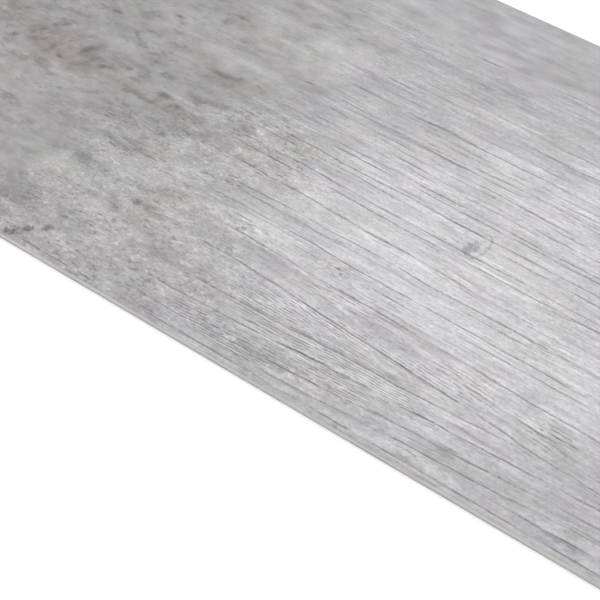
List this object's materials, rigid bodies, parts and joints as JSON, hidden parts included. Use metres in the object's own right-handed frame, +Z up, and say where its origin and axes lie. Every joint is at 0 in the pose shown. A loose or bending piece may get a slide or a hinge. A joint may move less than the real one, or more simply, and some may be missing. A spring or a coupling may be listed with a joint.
{
  "type": "self-adhesive floor tile",
  "caption": "Thin self-adhesive vinyl floor plank with a weathered grey wood and concrete print and embossed grain, pressed down on a flat subfloor beside its neighbours.",
  "frame": {"origin": "centre of the sticky underside, on the floor", "axes": "+X along the plank's length and grain, +Y across its width, +Z up out of the printed face"},
  "size_m": [0.9144, 0.1524, 0.002],
  "materials": {
    "printed_vinyl": "matte embossed vinyl, printed in weathered light grey wood and concrete, with a pale grey cut edge and a paper-lined sticky back"
  },
  "bodies": {
    "root": {"vinyl_plank": "printed_vinyl"}
  },
  "joints": []
}
